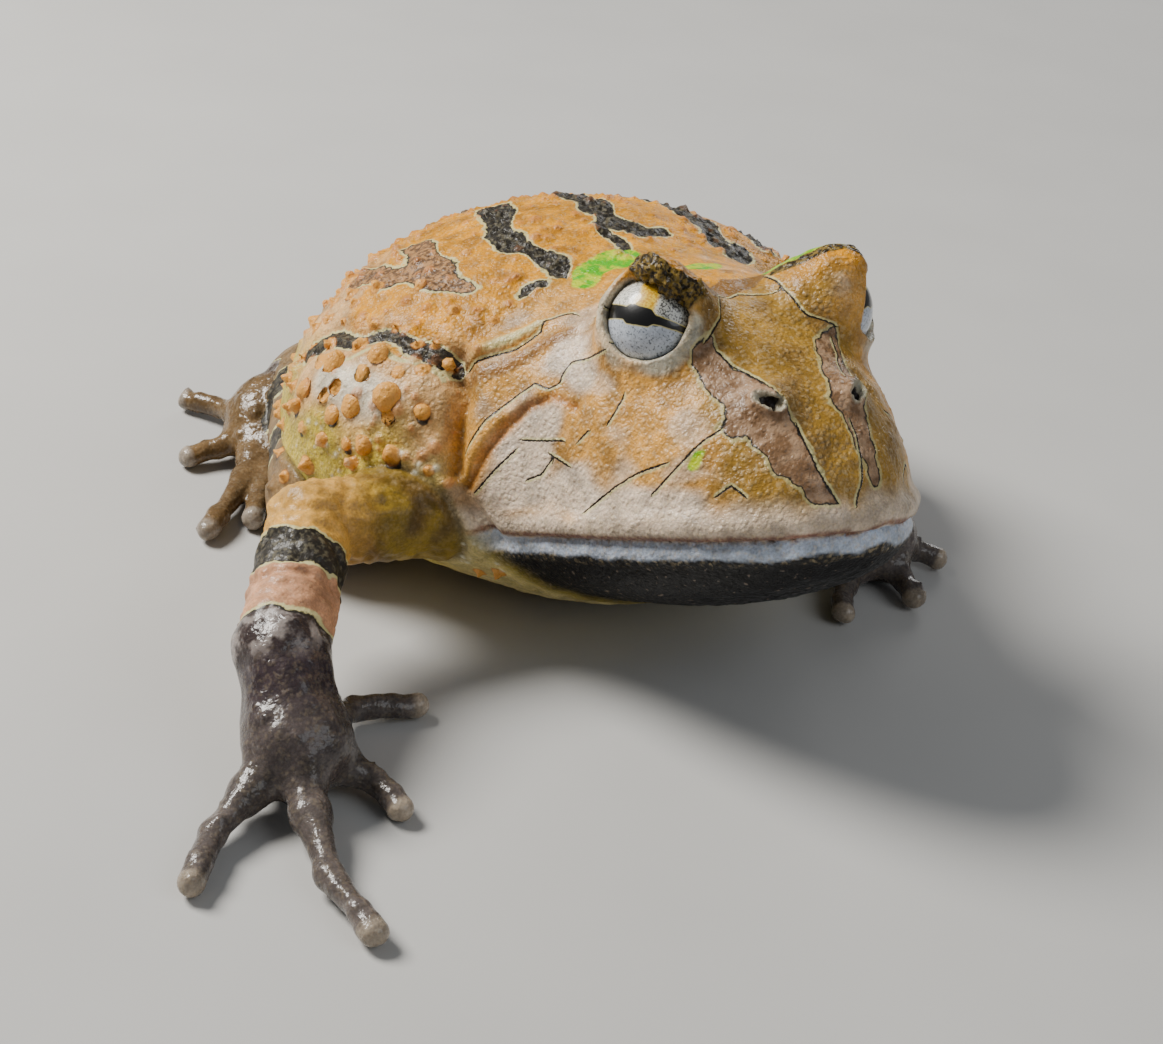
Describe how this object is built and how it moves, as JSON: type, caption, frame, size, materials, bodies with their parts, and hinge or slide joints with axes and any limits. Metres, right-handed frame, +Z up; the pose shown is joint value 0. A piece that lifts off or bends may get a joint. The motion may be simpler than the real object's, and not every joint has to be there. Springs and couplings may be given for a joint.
{
  "type": "horned frog",
  "caption": "Life-size still model of a horned frog sitting with its head raised, its right forefoot set out ahead and pointed lids over the eyes.",
  "frame": {"origin": "on the floor under the middle of the frog's box", "axes": "+Z up, the trunk faces -Y, +X to the frog's left"},
  "size_m": [0.1242, 0.1128, 0.0514],
  "materials": {
    "head_skin": "moist tan skin with fine grain",
    "throat_skin": "dark brown skin with pale specks",
    "body_skin": "warty tan skin with dark blotches edged in cream",
    "limb_skin": "moist grey-brown skin with bands",
    "horn_skin": "rough brown and yellow lid skin",
    "eye": "wet silver iris with a dark level pupil"
  },
  "bodies": {
    "root": {"head": "head_skin", "lower_jaw": "throat_skin", "torso": "body_skin", "horn_left": "horn_skin", "horn_right": "horn_skin", "eye_left": "eye", "eye_right": "eye", "upper_arm_left": "limb_skin", "forearm_left": "limb_skin", "hand_left": "limb_skin", "finger_left_1": "limb_skin", "finger_left_2": "limb_skin", "finger_left_3": "limb_skin", "finger_left_4": "limb_skin", "upper_arm_right": "limb_skin", "forearm_right": "limb_skin", "hand_right": "limb_skin", "finger_right_1": "limb_skin", "finger_right_2": "limb_skin", "finger_right_3": "limb_skin", "finger_right_4": "limb_skin", "thigh_left": "limb_skin", "shank_left": "limb_skin", "foot_left": "limb_skin", "toe_left_1": "limb_skin", "toe_left_2": "limb_skin", "toe_left_3": "limb_skin", "toe_left_4": "limb_skin", "toe_left_5": "limb_skin", "thigh_right": "limb_skin", "shank_right": "limb_skin", "foot_right": "limb_skin", "toe_right_1": "limb_skin", "toe_right_2": "limb_skin", "toe_right_3": "limb_skin", "toe_right_4": "limb_skin", "toe_right_5": "limb_skin"}
  },
  "joints": []
}
